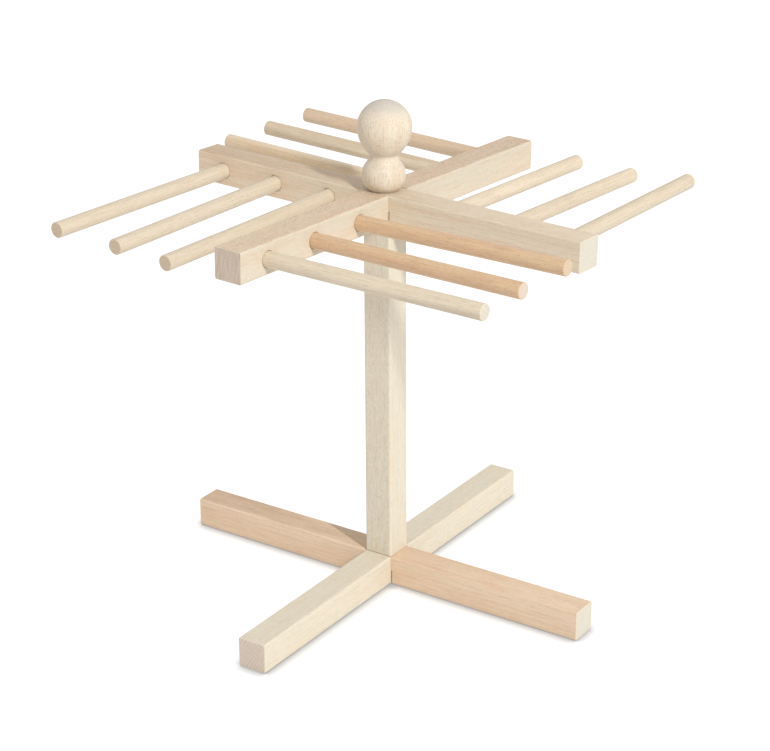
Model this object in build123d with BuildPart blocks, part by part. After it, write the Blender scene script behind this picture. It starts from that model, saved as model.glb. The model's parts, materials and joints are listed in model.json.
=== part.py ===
from build123d import *
from math import cos, radians, sin
import os

# Pasta drying rack in beech: a halved base cross, a square post, a halved top cross with round rods
# standing out of one side of each arm, and a turned knob whose stud clamps the top cross on the post.
# Lengths in mm, angles in degrees. +Z up, origin on the floor under the post's axis.
# The base bars lie along X (upper) and Y (lower). The top cross stands a little turned about the post,
# and leans with the post's head, which was sawn a little off square.

# Base bars
base_bar_length = 300.0
base_bar_width = 20.0
base_bar_height = 20.0

# Post
post_height = 230.0
post_width = 20.0

# Top bars
top_bar_length = 300.0
top_bar_width = 20.0
top_bar_height = 20.0
top_turn = -3.4
top_lean = 1.3
top_lean_direction = 64.0

# The upper top bar was sawn a little short, and its lap isn't quite at its middle
upper_top_bar_shortfall = 4.0
upper_top_bar_shift = 1.75

# All square timber
edge_radius = 1.5
end_easing = 0.3
lap_share = 0.5
lower_notch_clearance = 0.1
upper_notch_clearance = 0.9

# Rods
rod_diameter = 10.0
rod_length = 162.0
rod_socket_depth = 12.0
rod_socket_clearance = 0.3
rod_end_radius = 0.6
first_rod_place = 39.3
last_rod_margin = 24.1

# How far each rod was drilled off square to its arm, as a turn about the post and a rise, from the post outwards
rod_aims = {
    "front_right": [(0.4, -0.6), (0.8, -0.9), (1.1, 0.7)],
    "back_right": [(1.1, 1.2), (1.9, 1.4), (2.3, 1.5)],
    "back_left": [(-0.7, -1.7), (0.6, -1.2), (-1.2, -1.1)],
    "front_left": [(0.2, 1.6), (-0.7, 1.2), (1.6, 0.5)],
}

# Knob, heights above its foot
ball_radius = 17.2
ball_height = 39.9
ball_start_angle = -9.0
bulb_radius = 13.7
bulb_height = 8.4
foot_radius = 8.7
waist_radius = 9.2
waist_height = 22.9
waist_rounding = 2.5
tail_angle = 44.0

# How far the curves of the knob's outline hold on to their directions at their ends
bulb_pull = 10.2
waist_pull = 7.5
tail_pull = 5.0
ball_start_pull = 6.2

# The stud's hole isn't quite in the middle of the knob: the knob stands this far off it, along the top bars
knob_offset_x = -0.9
knob_offset_y = -0.7

# Clamping stud, fixed in the knob, and the threaded insert in the post that takes it
stud_diameter = 6.0
stud_in_knob = 22.0
stud_engagement = 12.5
stud_end_chamfer = 0.6
stud_clearance = 0.05
stud_end_gap = 0.3
stud_passage_clearance = 0.3
insert_diameter = 10.0
insert_length = 15.0
insert_recess = 0.5
insert_chamfer = 0.4

# Countersunk screw that holds the post from under the base
screw_diameter = 5.0
screw_length = 60.0
screw_tip_length = 5.0
screw_head_radius = 4.8
screw_head_recess = 1.0
screw_clearance = 0.05
screw_passage_clearance = 0.3
screw_end_gap = 1.0
drive_length = 5.0
drive_width = 1.1
drive_depth = 2.2
drive_taper = 8.0

# Every cut runs this far past the faces that it opens
overrun = 1.0

os.makedirs("parts", exist_ok=True)

post_bottom = base_bar_height
post_top = post_bottom + post_height
screw_head_height = screw_head_radius - screw_diameter / 2

# The rods stand evenly from the middle of their own bar
last_rod_place = top_bar_length / 2 - last_rod_margin
rod_places = [first_rod_place, (first_rod_place + last_rod_place) / 2, last_rod_place]
arm_shifts = [upper_top_bar_shift, 0, -upper_top_bar_shift, 0]

base_frame = Plane.XY
lean = Pos(Z=post_top) * Rot(Z=top_lean_direction) * Rot(Y=top_lean)
top_frame = Plane(lean * Rot(Z=top_turn - top_lean_direction))
knob_foot = top_frame.offset(top_bar_height)
QUARTER = 90
ARMS = list(rod_aims)


def save(part, name):
    part.label = name
    export_step(part, f"parts/{name}.step")


def arm_plane(frame, height, quarter):
    """The frame raised to a height and turned by quarters, with X out along one arm."""
    return Plane(frame.location * Pos(Z=height) * Rot(Z=QUARTER * quarter))


def across(plane):
    """The plane square to the plane's X, at its origin."""
    return Plane(plane.origin, x_dir=plane.y_dir, z_dir=plane.x_dir)


def timber(plane, length, width, height):
    """A square bar along the plane's Z, centred on its origin, with long edges rounded and ends eased."""
    with BuildSketch(plane) as section:
        RectangleRounded(width, height, edge_radius)
    extrude(section.sketch, amount=length / 2, both=True)
    middle = Axis(plane.origin, plane.z_dir)
    chamfer(faces().sort_by(middle)[0].edges() + faces().sort_by(middle)[-1].edges(), end_easing)


def notch(frame, quarter, width, height, other_width, clearance, above):
    """Cuts the half lap at the middle of a bar, from above or from below."""
    floor = height * lap_share
    depth = height - floor if above else floor
    with BuildSketch(arm_plane(frame, floor, quarter)) as lap:
        Rectangle(other_width + 2 * clearance, width + 2 * overrun)
    extrude(lap.sketch, amount=depth + overrun if above else -depth - overrun, mode=Mode.SUBTRACT)


def bore(plane, radius, depth):
    """A round hole along the plane's Z, from its origin, that runs past the plane."""
    with BuildSketch(plane.offset(-overrun)) as mouth:
        Circle(radius)
    extrude(mouth.sketch, amount=depth + overrun, mode=Mode.SUBTRACT)


def cross_bar(frame, quarter, length, width, height, clearance, above, shift=0.0):
    """One bar of a cross, with its half lap. A shift moves the bar along itself in the lap."""
    middle = arm_plane(frame, height / 2, quarter)
    middle.origin = middle.from_local_coords((shift, 0, 0))
    timber(across(middle), length, width, height)
    notch(frame, quarter, width, height, width, clearance, above)


def rod_planes(quarter):
    """The planes at the bottoms of one arm's rod sockets, with Z along the rods."""
    arm = arm_plane(top_frame, top_bar_height / 2, quarter)
    planes = []
    for place, (turn, rise) in zip(rod_places, rod_aims[ARMS[quarter]]):
        turn, rise = radians(turn), radians(rise)
        along = arm.y_dir * (cos(turn) * cos(rise)) - arm.x_dir * (sin(turn) * cos(rise)) + arm.z_dir * sin(rise)
        mouth = arm.from_local_coords(Vector(place + arm_shifts[quarter], top_bar_width / 2, 0))
        planes.append(Plane(mouth - along * rod_socket_depth, z_dir=along))
    return planes


def rod_sockets(quarter):
    """The blind holes of one arm's rods."""
    for plane in rod_planes(quarter):
        with BuildSketch(plane) as socket:
            Circle(rod_diameter / 2 + rod_socket_clearance)
        extrude(socket.sketch, amount=rod_socket_depth + overrun, mode=Mode.SUBTRACT)


# Base cross. The bar along Y is notched from above and the bar along X sits down into it.
passage_radius = screw_diameter / 2 + screw_passage_clearance
with BuildPart() as base_bar_lower:
    cross_bar(base_frame, 1, base_bar_length, base_bar_width, base_bar_height, lower_notch_clearance, True)
    bore(Plane.XY, passage_radius, base_bar_height)
    with BuildSketch(Plane.XZ):
        with BuildLine():
            Polyline(
                (0, -overrun),
                (screw_head_radius, -overrun),
                (screw_head_radius, screw_head_recess),
                (screw_diameter / 2, screw_head_recess + screw_head_height),
                (0, screw_head_recess + screw_head_height),
                close=True,
            )
        make_face()
    revolve(axis=Axis.Z, mode=Mode.SUBTRACT)
save(base_bar_lower.part, "base_bar_lower")

with BuildPart() as base_bar_upper:
    cross_bar(base_frame, 0, base_bar_length, base_bar_width, base_bar_height, upper_notch_clearance, False)
    bore(Plane.XY, passage_radius, base_bar_height + overrun)
save(base_bar_upper.part, "base_bar_upper")

# Screw under the base, head down in its countersink, with a cross recess
screw_seat = screw_head_recess
screw_tip = screw_seat + screw_length
with BuildPart() as base_screw:
    with BuildSketch(Plane.XZ):
        with BuildLine():
            Polyline(
                (0, screw_seat),
                (screw_head_radius, screw_seat),
                (screw_diameter / 2, screw_seat + screw_head_height),
                (screw_diameter / 2, screw_tip - screw_tip_length),
                (0, screw_tip),
                close=True,
            )
        make_face()
    revolve(axis=Axis.Z)
    for turn in (0, QUARTER):
        with BuildSketch(Plane.XY.offset(screw_seat).rotated((0, 0, turn))):
            Rectangle(drive_length, drive_width)
        extrude(amount=drive_depth, taper=drive_taper, mode=Mode.SUBTRACT)
save(base_screw.part, "base_screw")

# Post, with the screw's hole in its foot and a stepped hole in its leaning head for the insert and the stud
stud_radius = stud_diameter / 2
screw_in_post = screw_tip - post_bottom
with BuildPart() as post:
    sawn_length = post_height + overrun
    timber(Plane.XY.offset(post_bottom + sawn_length / 2), sawn_length, post_width, post_width)
    split(bisect_by=top_frame, keep=Keep.BOTTOM)
    chamfer(faces().sort_by(Axis.Z)[-1].edges(), end_easing)
    bore(Plane.XY.offset(post_bottom), screw_diameter / 2 + screw_clearance, screw_in_post + screw_end_gap)
    post_head = Plane(top_frame.location * Rot(X=180))
    bore(post_head, insert_diameter / 2, insert_recess + insert_length)
    bore(post_head, stud_radius + stud_clearance, stud_engagement + stud_end_gap)
save(post.part, "post")

with BuildPart() as post_insert:
    insert_foot = top_frame.offset(-insert_recess - insert_length)
    with BuildSketch(insert_foot):
        Circle(insert_diameter / 2)
    extrude(amount=insert_length)
    outer_rims = post_insert.edges().filter_by(GeomType.CIRCLE)
    chamfer(outer_rims, insert_chamfer)
    bore(insert_foot, stud_radius + stud_clearance, insert_length + overrun)
save(post_insert.part, "post_insert")

# Top cross. The bar along Y is notched from above and the bar along X sits down into it.
stud_passage = stud_radius + stud_passage_clearance
with BuildPart() as top_bar_lower:
    cross_bar(top_frame, 1, top_bar_length, top_bar_width, top_bar_height, lower_notch_clearance, True)
    bore(top_frame, stud_passage, top_bar_height)
    rod_sockets(1)
    rod_sockets(3)
save(top_bar_lower.part, "top_bar_lower")

with BuildPart() as top_bar_upper:
    cross_bar(
        top_frame,
        0,
        top_bar_length - upper_top_bar_shortfall,
        top_bar_width,
        top_bar_height,
        upper_notch_clearance,
        False,
        upper_top_bar_shift,
    )
    bore(top_frame, stud_passage, top_bar_height + overrun)
    rod_sockets(0)
    rod_sockets(2)
save(top_bar_upper.part, "top_bar_upper")

# Rods, each standing in its blind hole
for quarter, arm_name in enumerate(ARMS):
    for number, plane in enumerate(rod_planes(quarter), 1):
        with BuildPart() as rod:
            with BuildSketch(plane):
                Circle(rod_diameter / 2)
            extrude(amount=rod_length)
            fillet(rod.edges().filter_by(GeomType.CIRCLE), rod_end_radius)
        save(rod.part, f"rod_{arm_name}_{number}")

# Knob, turned in one piece: a foot, a bulb, a waist and a ball that tapers down to it. The outline is
# upright at the bulb's widest place and where it comes up to the waist.
bulb_side = Vector(bulb_radius, bulb_height)
waist = Vector(waist_radius, waist_height)
from_ball_middle = Vector(cos(radians(ball_start_angle)), sin(radians(ball_start_angle)))
ball_start = Vector(0, ball_height) + from_ball_middle * ball_radius
ball_start_way = Vector(-from_ball_middle.Y, from_ball_middle.X)
tail_way = Vector(cos(radians(tail_angle)), sin(radians(tail_angle)))
upright = Vector(0, 1)
knob_middle = knob_foot.from_local_coords(Vector(knob_offset_x, knob_offset_y, 0))
knob_plane = Plane(knob_middle, x_dir=knob_foot.x_dir, z_dir=-knob_foot.y_dir)
with BuildPart() as knob:
    with BuildSketch(knob_plane) as profile:
        with BuildLine():
            foot = TangentArc(bulb_side, (foot_radius, 0), tangent=-upright)
            Bezier(bulb_side, bulb_side + upright * bulb_pull, waist - upright * waist_pull, waist)
            Bezier(waist, waist + tail_way * tail_pull, ball_start - ball_start_way * ball_start_pull, ball_start)
            ball = ThreePointArc(ball_start, (ball_radius, ball_height), (0, ball_height + ball_radius))
            Polyline(ball @ 1, (0, 0), foot @ 1)
        make_face()
        fillet(profile.vertices().sort_by_distance(waist)[0], waist_rounding)
    revolve(axis=Axis(knob_middle, knob_foot.z_dir))
    bore(knob_foot, stud_radius + stud_clearance, stud_in_knob + stud_end_gap)
save(knob.part, "knob")

# Stud, through the cross into the insert
stud_length = stud_in_knob + top_bar_height + stud_engagement
with BuildPart() as knob_stud:
    with BuildSketch(top_frame.offset(-stud_engagement)):
        Circle(stud_radius)
    extrude(amount=stud_length)
    chamfer(knob_stud.edges().filter_by(GeomType.CIRCLE), stud_end_chamfer)
save(knob_stud.part, "knob_stud")
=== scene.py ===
import json
import math
from collections import namedtuple

import bpy
from mathutils import Matrix, Vector


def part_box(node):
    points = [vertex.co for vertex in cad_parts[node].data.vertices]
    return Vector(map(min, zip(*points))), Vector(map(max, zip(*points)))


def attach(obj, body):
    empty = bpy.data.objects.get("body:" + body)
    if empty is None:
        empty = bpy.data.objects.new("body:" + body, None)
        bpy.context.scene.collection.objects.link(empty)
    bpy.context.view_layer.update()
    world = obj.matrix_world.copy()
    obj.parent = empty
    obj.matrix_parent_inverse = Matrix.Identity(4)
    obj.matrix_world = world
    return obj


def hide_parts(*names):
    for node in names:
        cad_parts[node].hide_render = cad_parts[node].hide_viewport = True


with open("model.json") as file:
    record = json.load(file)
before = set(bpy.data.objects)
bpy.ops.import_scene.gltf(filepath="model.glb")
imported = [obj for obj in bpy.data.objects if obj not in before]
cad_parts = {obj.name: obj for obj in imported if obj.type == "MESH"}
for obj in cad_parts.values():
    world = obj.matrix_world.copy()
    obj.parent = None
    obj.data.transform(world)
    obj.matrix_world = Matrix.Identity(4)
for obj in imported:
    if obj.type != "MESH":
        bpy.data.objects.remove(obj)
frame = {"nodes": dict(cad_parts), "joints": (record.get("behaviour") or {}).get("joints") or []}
NODES = frame["nodes"]
JOINTS = {joint["name"]: joint for joint in frame["joints"]}
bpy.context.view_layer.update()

bl_info = {
    "name": "Pasta drying rack",
    "version": (1, 0, 0),
    "blender": (4, 5, 0),
    "location": "3D View > Sidebar > Pasta rack",
    "description": "Dresses a beech pasta drying rack in its wood and metal finishes",
    "category": "Object",
}

MM = 0.001
ROW_X, ROW_Y, ROW_Z = Vector((1, 0, 0)), Vector((0, 1, 0)), Vector((0, 0, 1))

# The head, the stud and the knob lean together, and the head is clamped this many degrees off square
HEAD_UP = Vector(JOINTS["head_swivel"]["axis"]).normalized()
HEAD_TURN = -3.4
ARM_NAMES = ("front_right", "back_right", "back_left", "front_left")
QUARTER_TURN = 90

# Widths of the pieces in millimetres, for the sanded rims of their ends
BAR_WIDTH = 20.0
ROD_WIDTH = 10.0
KNOB_WIDTH = 34.4

CAMERA_SENSOR_WIDTH = 36


def settings():
    return bpy.context.scene.pasta_rack


def colour_property(name, description, red, green, blue):
    """A colour from 0 to 1 in linear light."""
    return bpy.props.FloatVectorProperty(
        name=name, description=description, subtype="COLOR", size=3, min=0, max=1, default=(red, green, blue)
    )


def length_property(name, description, millimetres):
    return bpy.props.FloatProperty(
        name=name, description=description, unit="LENGTH", default=millimetres * MM
    )


def angle_property(name, description, degrees):
    return bpy.props.FloatProperty(
        name=name, description=description, subtype="ANGLE", default=math.radians(degrees)
    )


def strength_property(name, description, strength):
    return bpy.props.FloatProperty(name=name, description=description, min=0, default=strength)


class PastaRackStage(bpy.types.PropertyGroup):
    """Camera, light and floor."""

    camera_azimuth: angle_property("Camera azimuth", "Angle round the rack, 0 looking along +Y", 33.774)
    camera_elevation: angle_property("Camera elevation", "Angle above the horizon", 22.851)
    camera_roll: angle_property("Camera roll", "Turn about the camera's own line of sight", -0.302)
    camera_distance: length_property("Camera distance", "From the camera to what it looks at", 1416.45)
    camera_aim_height: length_property("Aim height", "Height that the camera looks at", 144.23)
    camera_sideways: length_property("Sideways", "How far right of the post's axis the camera looks", -0.46)
    camera_focal_length: bpy.props.FloatProperty(
        name="Focal length",
        description="Focal length in millimetres for a 36 mm sensor",
        unit="CAMERA",
        default=102.77,
    )
    key_azimuth: angle_property("Key light azimuth", "Angle round the rack, 0 shining along +Y", 67.5)
    key_elevation: angle_property("Key light elevation", "Angle above the horizon", 38)
    key_distance: length_property("Key light distance", "From the light to the foot of the rack", 8000)
    key_width: length_property("Key light width", "Side of the upright strip light that lies level", 280)
    key_height: length_property("Key light height", "Long side of the upright strip light", 2000)
    key_strength: strength_property("Key light strength", "Light on a face square to it, 1 is white", 0.64)
    sky_strength: strength_property("Sky strength", "Even light from all round, 1 is full white", 0.63)
    floor_size: length_property("Floor size", "Length of the floor's sides", 8000)
    floor_gap: length_property("Floor gap", "How far under the rack the floor lies", 0.05)
    floor_clear: length_property("Clear within", "Faces nearer than this get light through the floor", 2)
    floor_white: strength_property("Floor white", "What the camera sees besides the reflected sky", 0.56)
    # Reach of the floor's painted contact shadow
    floor_contact: length_property("Contact shade", "Reach of the shade under the bars over the floor", 9)
    floor_fill: strength_property("Floor fill", "What the floor gives the rack besides reflected sky", 0.34)


class PastaRackWood(bpy.types.PropertyGroup):
    """Tones and figure of the beech."""

    cream: colour_property("Cream", "Pale base bar and post", 0.735, 0.675, 0.545)
    straw: colour_property("Straw", "Lower head bar", 0.70, 0.63, 0.50)
    shell: colour_property("Shell", "Upper head bar, palest rod, and soft bands", 0.77, 0.66, 0.505)
    pink: colour_property("Pink", "Steamed, pinkish base bar", 0.815, 0.63, 0.455)
    tan: colour_property("Tan", "Warm bands in the head bars and the knob", 0.74, 0.54, 0.375)
    rust: colour_property("Rust", "Warmest bands", 0.70, 0.45, 0.28)
    orange: colour_property("Orange", "Warm rods", 0.735, 0.525, 0.325)
    honey: colour_property("Honey", "Yellowish rods", 0.68, 0.575, 0.43)
    ivory: colour_property("Ivory", "Cool, pale rods", 0.69, 0.595, 0.46)
    dun: colour_property("Dun", "Dull, greyish rods", 0.62, 0.495, 0.35)
    sand: colour_property("Sand", "Lightest of the dull rods", 0.70, 0.55, 0.375)
    pale_end: colour_property("Pale end", "Well sanded end", 0.72, 0.67, 0.56)
    grey_end: colour_property("Grey end", "Sawn end that shows its rings", 0.745, 0.63, 0.52)
    brown_end: colour_property("Brown end", "Sawn end that stayed dark", 0.645, 0.51, 0.37)
    warm_end: colour_property("Warm end", "Sawn end of a warm rod", 0.71, 0.555, 0.39)
    tan_end: colour_property("Tan end", "Dull end of the flecked head bar", 0.67, 0.55, 0.44)
    butter: colour_property("Butter", "Knob", 0.79, 0.715, 0.575)
    knob_end: colour_property("Knob end", "Cut grain on top of the knob", 0.64, 0.585, 0.51)
    bump: length_property("Grain depth", "Depth of the open grain", 0.04)


class PastaRackMetal(bpy.types.PropertyGroup):
    """Metal parts."""

    zinc: colour_property("Zinc", "Plating of the stud and the screw", 0.60, 0.60, 0.58)
    brass: colour_property("Brass", "Threaded insert", 0.70, 0.50, 0.22)
    stud_pitch: length_property("Stud pitch", "Rise of the stud's thread in one turn", 1.0)
    stud_depth: length_property("Stud thread depth", "From the crest to the root", 0.55)


class PastaRackSettings(bpy.types.PropertyGroup):
    """Everything that the operators read."""

    stage: bpy.props.PointerProperty(type=PastaRackStage)
    wood: bpy.props.PointerProperty(type=PastaRackWood)
    metal: bpy.props.PointerProperty(type=PastaRackMetal)


# Sockets of the mix node that carry colours
MIX_FIRST, MIX_SECOND, MIX_RESULT = 6, 7, 2


class Wiring:
    """Short calls that add a node to a tree and link it up."""

    def __init__(self, tree):
        self.tree = tree

    def add(self, kind, **values):
        node = self.tree.nodes.new(kind)
        for name, value in values.items():
            setattr(node, name, value)
        return node

    def put(self, socket, value):
        """A socket gets a link from another socket, or a plain value."""
        if isinstance(value, bpy.types.NodeSocket):
            self.tree.links.new(value, socket)
        else:
            socket.default_value = value

    def maths(self, operation, first, second=0.0, third=0.0, clamp=False):
        node = self.add("ShaderNodeMath", operation=operation, use_clamp=clamp)
        for socket, value in zip(node.inputs, (first, second, third)):
            self.put(socket, value)
        return node.outputs[0]

    def spread(self, value, low, high, to_low=0.0, to_high=1.0, smooth=True):
        """A value's range stretched to another range, and held inside it."""
        node = self.add("ShaderNodeMapRange", clamp=True)
        node.interpolation_type = "SMOOTHSTEP" if smooth else "LINEAR"
        for socket, given in zip(node.inputs, (value, low, high, to_low, to_high)):
            self.put(socket, given)
        return node.outputs[0]

    def stretch(self, vector, along, outward, around, offset=(0, 0, 0)):
        """A vector with each of its parts multiplied, and moved."""
        node = self.add("ShaderNodeVectorMath", operation="MULTIPLY_ADD")
        self.put(node.inputs[0], vector)
        node.inputs[1].default_value = (along, outward, around)
        self.put(node.inputs[2], offset)
        return node.outputs[0]

    def noise(self, vector, detail, roughness):
        node = self.add("ShaderNodeTexNoise")
        self.put(node.inputs["Vector"], vector)
        node.inputs["Scale"].default_value = 1.0
        node.inputs["Detail"].default_value = detail
        node.inputs["Roughness"].default_value = roughness
        return node.outputs[0]

    def layer(self, layer, place, seed):
        """The noise of one of the beech's layers."""
        return self.noise(self.stretch(place, *layer.stretch, seed), layer.detail, layer.roughness)

    def cells(self, vector):
        """Distance to the nearest of many scattered points, and a random value for that point."""
        node = self.add("ShaderNodeTexVoronoi")
        self.put(node.inputs["Vector"], vector)
        node.inputs["Scale"].default_value = 1.0
        chance = self.add("ShaderNodeSeparateColor")
        self.put(chance.inputs[0], node.outputs["Color"])
        return node.outputs["Distance"], chance.outputs[0]

    def faces(self, normal, way):
        """How squarely a face looks one way or the opposite way, from 0 to 1."""
        node = self.add("ShaderNodeVectorMath", operation="DOT_PRODUCT")
        self.put(node.inputs[0], normal)
        node.inputs[1].default_value = way
        return self.maths("ABSOLUTE", node.outputs["Value"])

    def blend(self, share, first, second):
        node = self.add("ShaderNodeMix", data_type="RGBA", clamp_factor=True)
        self.put(node.inputs[0], share)
        self.put(node.inputs[MIX_FIRST], first)
        self.put(node.inputs[MIX_SECOND], second)
        return node.outputs[MIX_RESULT]


FIGURE_INPUTS = (
    ("Place", "NodeSocketVector"),
    ("Facing end", "NodeSocketFloat"),
    ("Facing out", "NodeSocketFloat"),
    ("Rim", "NodeSocketFloat"),
    ("Wood", "NodeSocketColor"),
    ("Warm", "NodeSocketColor"),
    ("End", "NodeSocketColor"),
    ("Radial angle", "NodeSocketFloat"),
    ("Ring spacing", "NodeSocketFloat"),
    ("Rings", "NodeSocketFloat"),
    ("End rings", "NodeSocketFloat"),
    ("End rays", "NodeSocketFloat"),
    ("Streaks", "NodeSocketFloat"),
    ("Fibres", "NodeSocketFloat"),
    ("Flecks", "NodeSocketFloat"),
    ("Fleck share", "NodeSocketFloat"),
    ("Drift", "NodeSocketFloat"),
    ("Bark warmth", "NodeSocketFloat"),
    ("Dark end", "NodeSocketFloat"),
    ("Seed", "NodeSocketVector"),
)
FIGURE_OUTPUTS = (
    ("Colour", "NodeSocketColor"),
    ("Roughness", "NodeSocketFloat"),
    ("Height", "NodeSocketFloat"),
)
LATE_WOOD = (0.31, 0.19, 0.105, 1.0)
END_LINES = (0.34, 0.235, 0.165, 1.0)

# A layer of noise: its features in a millimetre along the grain, outward and around, how fine and how
# rough it is, and the values between which it begins to show and shows in full
Layer = namedtuple("Layer", "stretch detail roughness low high")
WANDER = Layer((0.011, 0.05, 0.05), 2.0, 0.5, 0.0, 1.0)
BANDS = Layer((0.008, 0.13, 0.13), 3.0, 0.55, 0.36, 0.66)
BLOTCHES = Layer((0.045, 0.16, 0.16), 2.0, 0.5, 0.5, 0.72)
FIBRES = Layer((0.05, 1.4, 1.4), 4.0, 0.66, 0.30, 0.72)
PORES = Layer((0.28, 2.2, 2.2), 2.0, 0.65, 0.46, 0.68)
END_SPECKLE = Layer((0.6, 2.0, 2.0), 3.0, 0.7, 0.35, 0.7)
END_RAYS = Layer((0.3, 0.10, 2.4), 2.0, 0.6, 0.45, 0.66)

# Growth rings: how many millimetres they wander, how they bow, how late they darken, and the share of
# a year at which the late line begins to fade
RING_WANDER = 7.0
RING_BOW = 0.012
RING_LATENESS = 2.2
RING_FADE = 0.86

# Ray flecks: cells in a millimetre along the grain, outward and around, and their sizes in cells
FLECK_CELLS = (0.50, 1.9, 2.6)
FLECK_SIZES = (0.1, 0.75)
FLECK_SOFTNESS = 0.22

# How strongly each feature warms or darkens the wood, as a share
BLOTCH_WARMTH = 0.22
FIBRE_SHADES = (-0.16, 0.20)
PORE_SHADE = 0.16
FLECK_SHADE = 0.34
SPECKLE_SHADE = 0.12
RIM_SANDING = 0.6

# A bar's dark end fades out over its whole length, which reaches this far from its middle
HALF_BAR = 150.0

FACE_ROUGHNESS = (0.50, 0.62)
ROUGHENING_FIBRES = (0.3, 0.7)
END_ROUGHENING = 0.18

# How far each feature stands out or sinks in, as a share of the grain's depth
FIBRE_HEIGHT = 0.8
PORE_HEIGHT = -5.0
RING_HEIGHT = -0.4
FLECK_HEIGHT = -0.5


def beech_figure():
    """The node group that works out beech from a place in millimetres, with the grain along X."""
    group = bpy.data.node_groups.new("beech figure", "ShaderNodeTree")
    for name, kind in FIGURE_INPUTS:
        group.interface.new_socket(name, in_out="INPUT", socket_type=kind)
    for name, kind in FIGURE_OUTPUTS:
        group.interface.new_socket(name, in_out="OUTPUT", socket_type=kind)
    w = Wiring(group)
    given = w.add("NodeGroupInput").outputs
    result = w.add("NodeGroupOutput").inputs
    seed = given["Seed"]

    # Turn the cross-section so that Y runs out from the heart of the tree and Z runs round it
    turn = w.add("ShaderNodeCombineXYZ")
    w.put(turn.inputs[0], given["Radial angle"])
    turned = w.add("ShaderNodeMapping", vector_type="TEXTURE")
    w.put(turned.inputs["Vector"], given["Place"])
    w.put(turned.inputs["Rotation"], turn.outputs[0])
    place = turned.outputs[0]
    parts = w.add("ShaderNodeSeparateXYZ")
    w.put(parts.inputs[0], place)
    along, outward, around = parts.outputs

    # Growth rings: soft early wood that darkens to a thin late line
    wander = w.layer(WANDER, place, seed)
    bowed = w.maths("MULTIPLY_ADD", w.maths("MULTIPLY", around, around), RING_BOW, outward)
    ring_place = w.maths("MULTIPLY_ADD", wander, RING_WANDER, bowed)
    ring_phase = w.maths("FRACT", w.maths("DIVIDE", ring_place, given["Ring spacing"]))
    late_line = w.spread(ring_phase, RING_FADE, 1.0, 1.0, 0.0)
    ring = w.maths("MULTIPLY", w.maths("POWER", ring_phase, RING_LATENESS), late_line)

    # Long soft bands, blotches, fibres and fine pores, all of them drawn out along the grain
    bands = w.layer(BANDS, place, seed)
    blotches = w.layer(BLOTCHES, place, seed)
    fibres = w.layer(FIBRES, place, seed)
    pores = w.layer(PORES, place, seed)

    # Ray flecks: short dark spindles along the grain, in a share of the scattered cells, on faces that
    # look out from the heart
    distance, chance = w.cells(w.stretch(place, *FLECK_CELLS, seed))
    has_fleck = w.maths("SUBTRACT", 1.0, given["Fleck share"])
    fleck_size = w.spread(chance, has_fleck, 1.0, *FLECK_SIZES, smooth=False)
    fleck = w.spread(w.maths("SUBTRACT", fleck_size, distance), 0.0, FLECK_SOFTNESS)
    fleck = w.maths("MULTIPLY", fleck, w.maths("MULTIPLY", given["Flecks"], given["Facing out"]))

    # Colour of the long faces
    warmth = w.maths("MULTIPLY", w.spread(bands, BANDS.low, BANDS.high), given["Streaks"])
    warmth = w.maths("MULTIPLY_ADD", w.spread(blotches, BLOTCHES.low, BLOTCHES.high), BLOTCH_WARMTH, warmth)
    warmth = w.maths("MULTIPLY_ADD", given["Facing out"], given["Bark warmth"], warmth)
    warmth = w.maths("MULTIPLY_ADD", along, given["Drift"], warmth, clamp=True)
    face = w.blend(warmth, given["Wood"], given["Warm"])
    shade = w.spread(fibres, FIBRES.low, FIBRES.high, *FIBRE_SHADES, smooth=False)
    shade = w.maths("MULTIPLY", shade, given["Fibres"])
    pore_shade = w.maths("MULTIPLY", w.spread(pores, PORES.low, PORES.high), PORE_SHADE)
    darkness = w.maths("MULTIPLY_ADD", ring, given["Rings"], w.maths("ADD", shade, pore_shade))
    darkness = w.maths("MULTIPLY_ADD", fleck, FLECK_SHADE, darkness)
    dark_end = w.maths("MULTIPLY", given["Facing out"], w.spread(along, -HALF_BAR, HALF_BAR, 1.0, 0.0))
    darkness = w.maths("MULTIPLY_ADD", dark_end, given["Dark end"], darkness)
    face = w.blend(darkness, face, LATE_WOOD)

    # Colour of the sawn ends: rings that stand out, fine rays across them, open pores, and the sanded rim
    speckle = w.layer(END_SPECKLE, place, seed)
    rays = w.layer(END_RAYS, place, seed)
    darkness = w.maths("MULTIPLY", w.spread(speckle, END_SPECKLE.low, END_SPECKLE.high), SPECKLE_SHADE)
    end_rays = w.spread(rays, END_RAYS.low, END_RAYS.high)
    darkness = w.maths("MULTIPLY_ADD", end_rays, given["End rays"], darkness)
    darkness = w.maths("MULTIPLY_ADD", ring, given["End rings"], darkness)
    end = w.blend(darkness, given["End"], END_LINES)
    end = w.blend(w.maths("MULTIPLY", given["Rim"], RIM_SANDING), end, given["Wood"])
    w.put(result["Colour"], w.blend(given["Facing end"], face, end))

    roughness = w.spread(fibres, *ROUGHENING_FIBRES, *FACE_ROUGHNESS)
    roughness = w.maths("MULTIPLY_ADD", given["Facing end"], END_ROUGHENING, roughness)
    w.put(result["Roughness"], roughness)
    height = w.maths("MULTIPLY_ADD", fibres, FIBRE_HEIGHT, w.maths("MULTIPLY", pore_shade, PORE_HEIGHT))
    height = w.maths("MULTIPLY_ADD", ring, RING_HEIGHT, height)
    w.put(result["Height"], w.maths("MULTIPLY_ADD", fleck, FLECK_HEIGHT, height))
    return group


def grain_frame(along, up):
    """A frame with X along the grain and Z as near up as it can be."""
    along = along.normalized()
    side = up.cross(along).normalized()
    return Matrix((along, side, along.cross(side))).transposed()


def head_grain(quarters):
    """The grain of a head bar that lies some quarter turns from the head's first arm."""
    turn = Matrix.Rotation(math.radians(HEAD_TURN + QUARTER_TURN * quarters), 3, "Z")
    along = turn @ ROW_X
    return grain_frame(along - HEAD_UP * along.dot(HEAD_UP), HEAD_UP)


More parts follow.
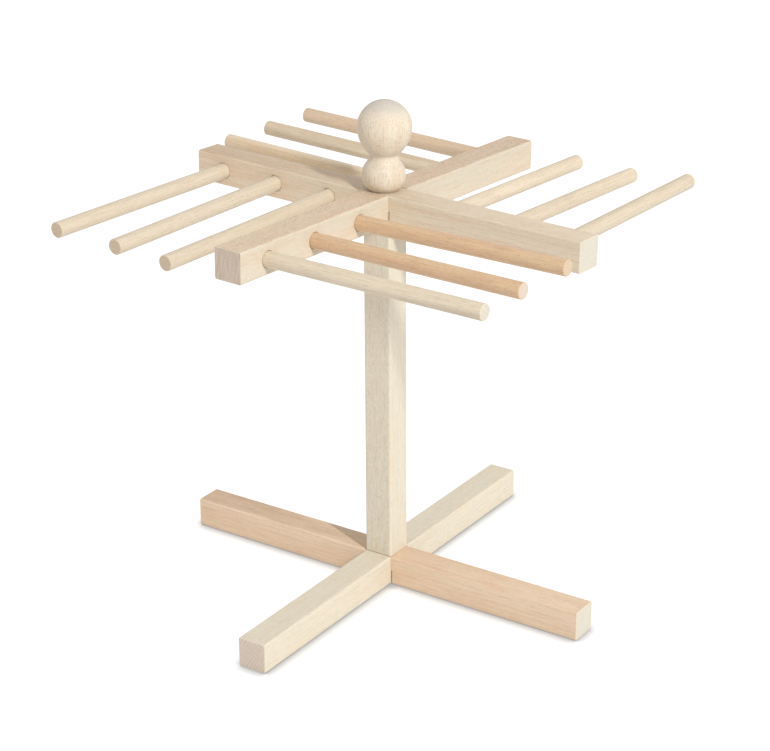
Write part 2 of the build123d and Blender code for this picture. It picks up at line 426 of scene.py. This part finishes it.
# Plain numbers of the figure, where a piece doesn't give its own
FIGURE_DEFAULTS = {
    "ring_spacing": 2.4,
    "rings": 0.08,
    "end_rings": 0.15,
    "end_rays": 0.10,
    "streaks": 1.0,
    "fibres": 0.7,
    "flecks": 0.5,
    "fleck_share": 0.4,
    "drift": 0.0,
    "bark_warmth": 0.0,
    "dark_end": 0.0,
}

# How squarely a face begins to look along the grain or towards the bark, and how squarely it does so fully
END_FACING = (0.45, 0.95)
BARK_FACING = (0.72, 0.97)

# How many millimetres in from the outline the sanded rim begins, and where it is at its full
RIM_START, RIM_FULL = 1.1, 0.2

SEED_STEPS = (17.3, 5.1, 9.7)
WOOD_SPECULAR = 0.35


def beech(name, node, pose, wood, warm, end, radial_angle=0, seed=0, width=BAR_WIDTH, round_section=False,
          **own_figure):
    """A beech finish for one piece, whose grain runs along the X of its pose. Sizes are in millimetres."""
    tones = settings().wood
    low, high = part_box(node)
    material = bpy.data.materials.new(name)
    material.use_nodes = True
    w = Wiring(material.node_tree)
    shader = material.node_tree.nodes["Principled BSDF"]
    where = w.add("ShaderNodeTexCoord")
    local = w.add("ShaderNodeMapping", vector_type="TEXTURE")
    w.put(local.inputs["Vector"], where.outputs["Object"])
    local.inputs["Location"].default_value = (low + high) / 2
    local.inputs["Rotation"].default_value = pose.to_euler("XYZ")
    local.inputs["Scale"].default_value = (MM, MM, MM)

    outward = pose @ (Matrix.Rotation(math.radians(radial_angle), 3, "X") @ ROW_Y)
    to_end, to_bark = [w.faces(where.outputs["Normal"], way) for way in (pose.col[0], outward)]

    # How near the outline of the section a place is
    parts = w.add("ShaderNodeSeparateXYZ")
    w.put(parts.inputs[0], local.outputs[0])
    sides = [w.maths("ABSOLUTE", part) for part in parts.outputs[1:]]
    if round_section:
        squares = [w.maths("MULTIPLY", side, side) for side in sides]
        reach = w.maths("SQRT", w.maths("ADD", *squares))
    else:
        reach = w.maths("MAXIMUM", *sides)
    rim = w.spread(reach, width / 2 - RIM_START, width / 2 - RIM_FULL)

    group = bpy.data.node_groups.get("beech figure") or beech_figure()
    figure = w.add("ShaderNodeGroup", node_tree=group)
    w.put(figure.inputs["Place"], local.outputs[0])
    w.put(figure.inputs["Facing end"], w.spread(to_end, *END_FACING))
    w.put(figure.inputs["Facing out"], 1.0 if round_section else w.spread(to_bark, *BARK_FACING))
    w.put(figure.inputs["Rim"], rim)
    w.put(figure.inputs["Radial angle"], math.radians(radial_angle))
    w.put(figure.inputs["Seed"], tuple(step * seed for step in SEED_STEPS))
    for socket, tone in (("Wood", wood), ("Warm", warm), ("End", end)):
        w.put(figure.inputs[socket], (*getattr(tones, tone), 1.0))
    for key, value in {**FIGURE_DEFAULTS, **own_figure}.items():
        w.put(figure.inputs[key.replace("_", " ").capitalize()], value)

    bump = w.add("ShaderNodeBump")
    bump.inputs["Strength"].default_value = 1.0
    bump.inputs["Distance"].default_value = tones.bump
    w.put(bump.inputs["Height"], figure.outputs["Height"])
    w.put(shader.inputs["Base Color"], figure.outputs["Colour"])
    w.put(shader.inputs["Roughness"], figure.outputs["Roughness"])
    w.put(shader.inputs["Normal"], bump.outputs[0])
    shader.inputs["Specular IOR Level"].default_value = WOOD_SPECULAR
    return material


# Scratches in the metal: how long they are drawn, their noise, and what they do to roughness and tone
SCRATCH_DRAW = 0.2
SCRATCH_DETAIL, SCRATCH_NOISE = 4.0, 0.6
SCRATCHES_SHOW = (0.3, 0.7)
SCRATCH_SMOOTHER, SCRATCH_ROUGHER = 0.08, 0.12
WORN_SHOWS = (0.35, 0.8)
WORN_TONE = 0.82


def metal(name, tone, roughness, scratch_scale):
    """A metal finish with fine scratches in its roughness."""
    material = bpy.data.materials.new(name)
    material.use_nodes = True
    w = Wiring(material.node_tree)
    shader = material.node_tree.nodes["Principled BSDF"]
    where = w.add("ShaderNodeTexCoord")
    drawn = w.stretch(where.outputs["Object"], scratch_scale, scratch_scale, SCRATCH_DRAW * scratch_scale)
    scratch = w.noise(drawn, SCRATCH_DETAIL, SCRATCH_NOISE)
    uneven = w.spread(scratch, *SCRATCHES_SHOW, roughness - SCRATCH_SMOOTHER, roughness + SCRATCH_ROUGHER)
    w.put(shader.inputs["Roughness"], uneven)
    worn = [WORN_TONE * part for part in tone]
    w.put(shader.inputs["Base Color"], w.blend(w.spread(scratch, *WORN_SHOWS), (*tone, 1.0), (*worn, 1.0)))
    shader.inputs["Metallic"].default_value = 1.0
    return material


def dress(node, material):
    """A CAD node takes one finish all over."""
    mesh = NODES[node].data
    mesh.materials.clear()
    mesh.materials.append(material)
    for polygon in mesh.polygons:
        polygon.material_index = 0


def only(obj):
    """Selects one object and makes it active."""
    bpy.ops.object.select_all(action="DESELECT")
    obj.select_set(True)
    bpy.context.view_layer.objects.active = obj


class PASTARACK_OT_base_bars(bpy.types.Operator):
    """Finish the two bars of the base cross"""

    bl_idname = "pasta_rack.base_bars"
    bl_label = "Base bars"

    def execute(self, context):
        lower, upper = "base_bar_lower", "base_bar_upper"
        dress(lower, beech("base bar pale", lower, grain_frame(ROW_Y, ROW_Z), "cream", "shell", "grey_end",
                           radial_angle=32, ring_spacing=1.9, rings=0.05, end_rings=0.42,
                           streaks=0.5, flecks=0.35, fleck_share=0.2, seed=1))
        dress(upper, beech("base bar warm", upper, grain_frame(ROW_X, ROW_Z), "pink", "rust", "pale_end",
                           radial_angle=84, ring_spacing=3.4, rings=0.12, end_rings=0.06,
                           streaks=0.3, flecks=0.35, fleck_share=0.4, drift=-0.0004, bark_warmth=0.08,
                           dark_end=0.28, seed=2))
        return {"FINISHED"}


class PASTARACK_OT_post(bpy.types.Operator):
    """Finish the post"""

    bl_idname = "pasta_rack.post"
    bl_label = "Post"

    def execute(self, context):
        dress("post", beech("post", "post", grain_frame(ROW_Z, ROW_X), "cream", "shell", "grey_end",
                            ring_spacing=6, rings=0.05, streaks=0.45, flecks=0.6, fleck_share=0.6, seed=3))
        return {"FINISHED"}


class PASTARACK_OT_head_bars(bpy.types.Operator):
    """Finish the two bars of the head"""

    bl_idname = "pasta_rack.head_bars"
    bl_label = "Head bars"

    def execute(self, context):
        lower, upper = "top_bar_lower", "top_bar_upper"
        dress(lower, beech("head bar flecked", lower, head_grain(3), "straw", "tan", "tan_end",
                           radial_angle=84, ring_spacing=2.6, rings=0.04, end_rings=0.08, end_rays=0.40,
                           streaks=0.35, flecks=1.1, fleck_share=0.9, bark_warmth=0.55, dark_end=0.14,
                           seed=4))
        dress(upper, beech("head bar plain", upper, head_grain(0), "shell", "tan", "pale_end",
                           radial_angle=96, ring_spacing=4, rings=0.10, end_rings=0.06,
                           streaks=0.5, flecks=0.4, fleck_share=0.4, drift=-0.0025, dark_end=0.35, seed=5))
        return {"FINISHED"}


# Timber, warm bands and end of each rod, from the post outwards
ROD_TONES = {
    "front_right": (
        ("honey", "shell", "pale_end"),
        ("honey", "shell", "pale_end"),
        ("honey", "ivory", "pale_end"),
    ),
    "back_right": (
        ("sand", "shell", "grey_end"),
        ("dun", "shell", "grey_end"),
        ("dun", "tan", "grey_end"),
    ),
    "back_left": (
        ("ivory", "honey", "brown_end"),
        ("ivory", "honey", "brown_end"),
        ("ivory", "honey", "brown_end"),
    ),
    "front_left": (
        ("orange", "rust", "warm_end"),
        ("orange", "rust", "grey_end"),
        ("shell", "honey", "pale_end"),
    ),
}

# The warm rods are more coarsely figured than the others
WARM_ROD = {"fibres": 1.5, "flecks": 0.5, "fleck_share": 0.9}
OTHER_ROD = {"fibres": 0.9, "flecks": 0.3, "fleck_share": 0.25}

FIRST_ROD_SEED = 10
ROD_RADIAL_STEP = 37


def middle(points):
    return sum(points, Vector()) / len(points)


def rod_direction(node, rough_direction):
    """The way that a rod points, from the middles of its two halves."""
    points = [vertex.co for vertex in NODES[node].data.vertices]
    centre = middle(points)
    tip, root = [
        middle([point for point in points if (point - centre).dot(way) > 0])
        for way in (rough_direction, -rough_direction)
    ]
    return (tip - root).normalized()


class PASTARACK_OT_rods(bpy.types.Operator):
    """Finish the rods, each with timber of its own"""

    bl_idname = "pasta_rack.rods"
    bl_label = "Rods"

    def execute(self, context):
        seed = FIRST_ROD_SEED
        for quarter, arm in enumerate(ARM_NAMES):
            across_arm = head_grain(quarter + 1).col[0]
            for number, (wood, warm, end) in enumerate(ROD_TONES[arm], 1):
                node = f"rod_{arm}_{number}"
                pose = grain_frame(rod_direction(node, across_arm), HEAD_UP)
                own_figure = WARM_ROD if wood == "orange" else OTHER_ROD
                dress(node, beech(node, node, pose, wood, warm, end, radial_angle=ROD_RADIAL_STEP * seed,
                                  rings=0.07, end_rings=0.22, streaks=0.8, **own_figure,
                                  seed=seed, width=ROD_WIDTH, round_section=True))
                seed += 1
        return {"FINISHED"}


class PASTARACK_OT_knob(bpy.types.Operator):
    """Finish the turned knob"""

    bl_idname = "pasta_rack.knob"
    bl_label = "Knob"

    def execute(self, context):
        dress("knob", beech("knob", "knob", grain_frame(HEAD_UP, ROW_X), "butter", "tan", "knob_end",
                            radial_angle=34, ring_spacing=5, rings=0.05, end_rings=0.12,
                            streaks=0.3, fibres=1.4, flecks=0.4, fleck_share=0.7,
                            seed=30, width=KNOB_WIDTH, round_section=True))
        return {"FINISHED"}


class PASTARACK_OT_fixings(bpy.types.Operator):
    """Finish the screw under the base and the insert in the post"""

    bl_idname = "pasta_rack.fixings"
    bl_label = "Screw and insert"

    def execute(self, context):
        tones = settings().metal
        dress("base_screw", metal("zinc plate", tones.zinc, roughness=0.34, scratch_scale=900))
        dress("post_insert", metal("turned brass", tones.brass, roughness=0.30, scratch_scale=700))
        return {"FINISHED"}


# The thread's flanks each take this share of its pitch, and the crest and the root take the rest
FLANK_SHARE = 0.42
THREAD_STEPS = 32
THREAD_SMOOTH_ANGLE = 30


def wind_thread(name, start, end, root, crest, pitch):
    """A threaded rod about the Z axis, between two heights, with both ends cut square."""
    bpy.ops.object.select_all(action="DESELECT")
    bpy.ops.mesh.primitive_plane_add(size=crest, location=(0, 0, 0))
    rod = bpy.context.object
    rod.name = name
    # One turn's outline, from root to crest and back, extruded point by point
    bpy.ops.object.mode_set(mode="EDIT")
    bpy.ops.mesh.select_all(action="SELECT")
    bpy.ops.mesh.merge(type="CENTER")
    bpy.ops.transform.translate(value=(root, 0, start - pitch))
    flank = pitch * FLANK_SHARE
    flat = pitch / 2 - flank
    for across, up in ((0, flat), (crest - root, flank), (0, flat), (root - crest, flank)):
        bpy.ops.mesh.extrude_vertices_move(TRANSFORM_OT_translate={"value": (across, 0, up)})
    bpy.ops.object.mode_set(mode="OBJECT")
    only(rod)
    winding = rod.modifiers.new("thread", "SCREW")
    winding.axis = "Z"
    winding.screw_offset = pitch
    winding.iterations = math.ceil((end - start) / pitch) + 2
    winding.steps = winding.render_steps = THREAD_STEPS
    bpy.ops.object.modifier_apply(modifier=winding.name)

    # Join the turns, and cut both ends square
    bpy.ops.object.mode_set(mode="EDIT")
    bpy.ops.mesh.select_all(action="SELECT")
    bpy.ops.mesh.remove_doubles(threshold=pitch / 100)
    for height, upward in ((start, False), (end, True)):
        bpy.ops.mesh.select_all(action="SELECT")
        bpy.ops.mesh.bisect(plane_co=(0, 0, height), plane_no=(0, 0, 1), use_fill=True,
                            clear_inner=not upward, clear_outer=upward)
    bpy.ops.mesh.select_all(action="SELECT")
    bpy.ops.mesh.normals_make_consistent(inside=False)
    bpy.ops.object.mode_set(mode="OBJECT")
    bpy.ops.object.shade_smooth_by_angle(angle=math.radians(THREAD_SMOOTH_ANGLE))
    return rod


def stand_on(obj, foot, up):
    """Moves a piece made about the Z axis to its place, and keeps the place in its mesh."""
    only(obj)
    obj.matrix_world = Matrix.Translation(foot) @ up.to_track_quat("Z", "Y").to_matrix().to_4x4()
    bpy.ops.object.transform_apply(location=True, rotation=True, scale=True)


class PASTARACK_OT_stud(bpy.types.Operator):
    """Model the knob's stud with its real thread"""

    bl_idname = "pasta_rack.stud"
    bl_label = "Threaded stud"

    def execute(self, context):
        sizes = settings().metal
        foot = Vector(JOINTS["knob_turn"]["pos_m"])
        places = [vertex.co - foot for vertex in NODES["knob_stud"].data.vertices]
        heights = [place.dot(HEAD_UP) for place in places]
        crest = max((place - HEAD_UP * height).length for place, height in zip(places, heights))
        stud = wind_thread("knob_stud_threaded", min(heights), max(heights),
                           crest - sizes.stud_depth, crest, sizes.stud_pitch)
        stand_on(stud, foot, HEAD_UP)
        stud.data.materials.append(metal("zinc stud", sizes.zinc, roughness=0.32, scratch_scale=900))
        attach(stud, "stud")
        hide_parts("knob_stud")
        return {"FINISHED"}


def direction_of(azimuth, elevation):
    """The direction towards something seen at an azimuth and an elevation."""
    level = math.cos(elevation)
    return Vector((math.sin(azimuth) * level, -math.cos(azimuth) * level, math.sin(elevation)))


def seen_directly(w):
    """1 for what the camera sees, also reflected or through something, and 0 for what lights the rack."""
    path = w.add("ShaderNodeLightPath")
    mirrored = w.maths("MAXIMUM", path.outputs["Is Camera Ray"], path.outputs["Is Glossy Ray"])
    return w.maths("MAXIMUM", mirrored, path.outputs["Is Transmission Ray"])


# Floor paint, and the painted contact shadow near the rack: the share below which it goes no darker, and the
# samples of the ambient occlusion that finds it
FLOOR_PAINT = (0.93, 0.95, 0.98, 1)
DEEPEST_SHADE = 0.5
SHADE_SAMPLES = 16


def floor_finish(white, fill, contact, clear_within):
    """Pale floor that shows white. Its soft shadow is partly the real shade of the sky that the rack blocks,
    and partly painted: ambient occlusion darkens its paint and its glow near the rack. From below it is
    clear, and to faces that are very near it, so that the underside of the rack gets light."""
    material = bpy.data.materials.new("floor")
    material.use_nodes = True
    tree = material.node_tree
    tree.nodes.clear()
    w = Wiring(tree)
    # Painted contact shadow: ambient occlusion darkens the floor's paint near the rack
    painted_contact_shade = w.add("ShaderNodeAmbientOcclusion", samples=SHADE_SAMPLES)
    painted_contact_shade.inputs["Color"].default_value = FLOOR_PAINT
    painted_contact_shade.inputs["Distance"].default_value = contact
    paint = w.add("ShaderNodeBsdfDiffuse")
    w.put(paint.inputs["Color"], painted_contact_shade.outputs["Color"])
    light = w.add("ShaderNodeEmission")
    # Painted shade: the glow that the camera sees darkens near the rack, to no less than the deepest shade
    shade = w.maths("MAXIMUM", painted_contact_shade.outputs["AO"], DEEPEST_SHADE)
    glow = w.spread(seen_directly(w), 0.0, 1.0, fill, w.maths("MULTIPLY", shade, white), smooth=False)
    w.put(light.inputs["Strength"], glow)
    both = w.add("ShaderNodeAddShader")
    w.put(both.inputs[0], paint.outputs[0])
    w.put(both.inputs[1], light.outputs[0])
    clear = w.add("ShaderNodeBsdfTransparent")
    side = w.add("ShaderNodeNewGeometry")
    path = w.add("ShaderNodeLightPath")
    near = w.maths("LESS_THAN", path.outputs["Ray Length"], clear_within)
    choice = w.add("ShaderNodeMixShader")
    w.put(choice.inputs[0], w.maths("MAXIMUM", side.outputs["Backfacing"], near))
    w.put(choice.inputs[1], both.outputs[0])
    w.put(choice.inputs[2], clear.outputs[0])
    w.put(w.add("ShaderNodeOutputMaterial").inputs["Surface"], choice.outputs[0])
    return material


def white_world(sky_strength):
    """Even light from all round, which shows white behind the rack."""
    world = bpy.data.worlds.new("studio")
    bpy.context.scene.world = world
    world.use_nodes = True
    tree = world.node_tree
    tree.nodes.clear()
    w = Wiring(tree)
    sky = w.add("ShaderNodeBackground")
    sky.inputs["Color"].default_value = (1, 1, 1, 1)
    w.put(sky.inputs["Strength"], w.spread(seen_directly(w), 0.0, 1.0, sky_strength, 1.0, smooth=False))
    w.put(w.add("ShaderNodeOutputWorld").inputs["Surface"], sky.outputs[0])


def lay_floor(stage):
    bpy.ops.object.select_all(action="DESELECT")
    bpy.ops.mesh.primitive_plane_add(size=stage.floor_size, location=(0, 0, -stage.floor_gap))
    floor = bpy.context.object
    floor.name = "floor"
    finish = floor_finish(stage.floor_white, stage.floor_fill, stage.floor_contact, stage.floor_clear)
    floor.data.materials.append(finish)
    return floor


def hang_key_light(stage, floor):
    """An upright strip light that passes the floor by, so that the floor keeps only its soft contact shadow,
    which is partly the sky's real shade and partly painted in its finish.
    """
    towards_key = direction_of(stage.key_azimuth, stage.key_elevation)
    bpy.ops.object.light_add(type="AREA", location=towards_key * stage.key_distance)
    key = bpy.context.object
    key.name = "key_light"
    key.rotation_euler = towards_key.to_track_quat("Z", "Y").to_euler()
    key.data.shape = "RECTANGLE"
    key.data.size = stage.key_width
    key.data.size_y = stage.key_height
    key.data.energy = stage.key_strength * (math.pi * stage.key_distance) ** 2
    passed_by = bpy.data.collections.new("passed by the key light")
    passed_by.objects.link(floor)
    key.light_linking.receiver_collection = passed_by
    passed_by.collection_objects[0].light_linking.link_state = "EXCLUDE"


def place_camera(stage):
    back = direction_of(stage.camera_azimuth, stage.camera_elevation)
    level_right = ROW_Z.cross(back).normalized()
    aim = Vector((0, 0, stage.camera_aim_height)) + level_right * stage.camera_sideways
    roll = Matrix.Rotation(stage.camera_roll, 3, back)
    right, up = roll @ level_right, roll @ back.cross(level_right)
    bpy.ops.object.camera_add()
    camera = bpy.context.object
    camera.name = "camera"
    turn = Matrix((right, up, back)).transposed().to_4x4()
    camera.matrix_world = Matrix.Translation(aim + back * stage.camera_distance) @ turn
    camera.data.sensor_width = CAMERA_SENSOR_WIDTH
    camera.data.lens = stage.camera_focal_length
    camera.data.clip_end = stage.floor_size
    bpy.context.scene.camera = camera


class PASTARACK_OT_stage(bpy.types.Operator):
    """Set the floor, the light and the camera"""

    bl_idname = "pasta_rack.stage"
    bl_label = "Stage"

    def execute(self, context):
        stage = settings().stage
        context.scene.view_settings.view_transform = "Standard"
        white_world(stage.sky_strength)
        floor = lay_floor(stage)
        hang_key_light(stage, floor)
        place_camera(stage)
        return {"FINISHED"}


class PASTARACK_PT_panel(bpy.types.Panel):
    """Lists the rack's sizes, colours and steps"""

    bl_label = "Pasta rack"
    bl_idname = "PASTARACK_PT_panel"
    bl_space_type = "VIEW_3D"
    bl_region_type = "UI"
    bl_category = "Pasta rack"

    def draw(self, context):
        for title in ("wood", "metal", "stage"):
            box = self.layout.box()
            box.label(text=title.capitalize())
            group = getattr(settings(), title)
            for name in group.__annotations__:
                box.prop(group, name)
        for operator in OPERATORS:
            self.layout.operator(operator.bl_idname)


OPERATORS = (
    PASTARACK_OT_base_bars,
    PASTARACK_OT_post,
    PASTARACK_OT_head_bars,
    PASTARACK_OT_rods,
    PASTARACK_OT_knob,
    PASTARACK_OT_fixings,
    PASTARACK_OT_stud,
    PASTARACK_OT_stage,
)
CLASSES = (
    PastaRackStage,
    PastaRackWood,
    PastaRackMetal,
    PastaRackSettings,
    *OPERATORS,
    PASTARACK_PT_panel,
)


def register():
    for each in CLASSES:
        bpy.utils.register_class(each)
    bpy.types.Scene.pasta_rack = bpy.props.PointerProperty(type=PastaRackSettings)


def unregister():
    del bpy.types.Scene.pasta_rack
    for each in reversed(CLASSES):
        bpy.utils.unregister_class(each)


def main():
    register()
    bpy.ops.pasta_rack.base_bars()
    bpy.ops.pasta_rack.post()
    bpy.ops.pasta_rack.head_bars()
    bpy.ops.pasta_rack.rods()
    bpy.ops.pasta_rack.knob()
    bpy.ops.pasta_rack.fixings()
    bpy.ops.pasta_rack.stud()
    bpy.ops.pasta_rack.stage()


if __name__ == "__main__":
    main()
